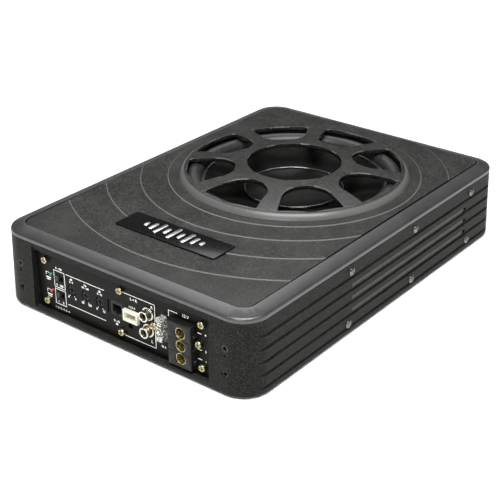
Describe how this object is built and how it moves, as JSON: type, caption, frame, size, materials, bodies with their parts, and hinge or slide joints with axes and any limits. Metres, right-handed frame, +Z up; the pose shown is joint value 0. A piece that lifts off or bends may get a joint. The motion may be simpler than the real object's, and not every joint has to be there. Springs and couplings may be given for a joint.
{
  "type": "powered car subwoofer",
  "caption": "Low ribbed under-seat subwoofer: petal grille over a shallow woofer, built-in amplifier, control panel with knobs, switches, sockets, fuse and power terminals.",
  "frame": {"origin": "on the floor under the middle of the casing", "axes": "+Z up, +Y along the length towards the woofer end, the control panel faces -Y, +X to the right as seen from the panel"},
  "size_m": [0.248, 0.3448, 0.0762],
  "materials": {
    "casing": "fine matt black powder coat",
    "top_frame": "satin grey-black moulded rim",
    "grille_panel": "fine-textured dark grey plastic",
    "badge_plate": "smooth black plate",
    "badge_bars": "brushed silver",
    "bottom_plate": "black powder coat",
    "black_screw": "black zinc",
    "steel": "zinc-plated steel",
    "rubber": "soft black rubber",
    "inlay": "knurled dark grey strip",
    "brass": "pale yellow passivated brass",
    "basket": "black painted pressed steel",
    "foam": "closed-cell foam",
    "surround": "smooth dark grey rubber",
    "cone": "dark coated pulp, faint sheen",
    "dust_cap": "smooth dark cap",
    "ring": "glossy black ring",
    "former": "thin aluminium tube",
    "copper": "enamelled copper wire",
    "spider": "resin-treated cloth",
    "black_steel": "black passivated steel",
    "ferrite": "dark grey ferrite",
    "lead": "insulated lead",
    "board": "green solder mask",
    "sleeve": "shrink sleeve",
    "aluminium": "plain milled aluminium",
    "black_plastic": "black moulded plastic",
    "panel": "black control plate with plain white marks",
    "cream": "cream nylon",
    "nickel": "nickel-plated brass",
    "knob": "black moulded plastic",
    "slider": "black moulded plastic",
    "fuse": "clear moulded plastic",
    "zinc": "zinc alloy",
    "green_lens": "green lens",
    "red_lens": "red lens"
  },
  "bodies": {
    "enclosure": {"casing": "casing", "top_frame": "top_frame", "grille_panel": "grille_panel", "badge_plate": "badge_plate", "badge_bars": "badge_bars", "bottom_plate": "bottom_plate", "bottom_screws": "black_screw", "rubber_feet": "rubber", "side_screws": "black_screw", "side_inlays": "inlay", "mounting_inserts": "black_steel", "basket": "basket", "speaker_screws": "steel", "speaker_gasket": "foam", "surround": "surround", "spider": "spider", "top_plate": "black_steel", "magnet": "ferrite", "yoke": "black_steel", "speaker_terminals": "black_plastic", "tinsel_leads": "copper", "speaker_wires": "lead", "main_board": "board", "power_transformer": "copper", "capacitors": "sleeve", "transistors": "black_plastic", "heat_spreaders": "aluminium", "control_panel": "panel", "panel_screws": "brass", "board_spacers": "brass", "control_board": "board", "pot_bodies": "steel", "switch_bodies": "black_plastic", "remote_jack": "black_plastic", "remote_contacts": "brass", "input_socket": "cream", "socket_pins": "steel", "rca_block": "black_plastic", "rca_shells": "nickel", "rca_insulators": "black_plastic", "fuse_holder": "black_plastic", "terminal_housing": "black_plastic", "terminal_cages": "brass", "power_led": "green_lens", "protect_led": "red_lens"},
    "diaphragm": {"cone": "cone", "dust_cap": "dust_cap", "dust_cap_ring": "ring", "coil_former": "former", "voice_coil": "copper"},
    "gain": {"gain_knob": "knob"},
    "crossover": {"crossover_knob": "knob"},
    "bass_boost": {"bass_boost_knob": "knob"},
    "phase_switch": {"phase_slider": "slider"},
    "input_switch": {"input_slider": "slider"},
    "fuse": {"fuse_body": "fuse", "fuse_blades": "zinc"},
    "lower_clamp": {"clamp_screw_1": "black_screw"},
    "middle_clamp": {"clamp_screw_2": "black_screw"},
    "upper_clamp": {"clamp_screw_3": "black_screw"}
  },
  "joints": [
    {"name": "cone_travel", "type": "slide", "parent": "enclosure", "child": "diaphragm", "axis": [0, 0, 1], "range_m": [-0.004, 0.004], "stiffness_N_per_m": 1500, "deforming": ["surround", "spider", "tinsel_leads"]},
    {"name": "gain_turn", "type": "hinge", "parent": "enclosure", "child": "gain", "pos_m": [-0.0507, -0.163, 0.0288], "axis": [0, -1, 0], "range_deg": [-140, 140]},
    {"name": "crossover_turn", "type": "hinge", "parent": "enclosure", "child": "crossover", "pos_m": [-0.0359, -0.163, 0.0288], "axis": [0, -1, 0], "range_deg": [-140, 140]},
    {"name": "bass_boost_turn", "type": "hinge", "parent": "enclosure", "child": "bass_boost", "pos_m": [-0.0212, -0.163, 0.0288], "axis": [0, -1, 0], "range_deg": [-140, 140]},
    {"name": "phase_slide", "type": "slide", "parent": "enclosure", "child": "phase_switch", "axis": [1, 0, 0], "range_m": [0, 0.004]},
    {"name": "input_slide", "type": "slide", "parent": "enclosure", "child": "input_switch", "axis": [1, 0, 0], "range_m": [0, 0.004]},
    {"name": "fuse_pull", "type": "slide", "parent": "enclosure", "child": "fuse", "axis": [0, -1, 0], "range_m": [0, 0.016]},
    {"name": "lower_clamp_turn", "type": "hinge", "parent": "enclosure", "child": "lower_clamp", "pos_m": [0.0685, -0.1689, 0.0146], "axis": [1, 0, 0], "range_deg": [-720, 0]},
    {"name": "middle_clamp_turn", "type": "hinge", "parent": "enclosure", "child": "middle_clamp", "pos_m": [0.0685, -0.1689, 0.0248], "axis": [1, 0, 0], "range_deg": [-720, 0]},
    {"name": "upper_clamp_turn", "type": "hinge", "parent": "enclosure", "child": "upper_clamp", "pos_m": [0.0685, -0.1689, 0.035], "axis": [1, 0, 0], "range_deg": [-720, 0]}
  ]
}
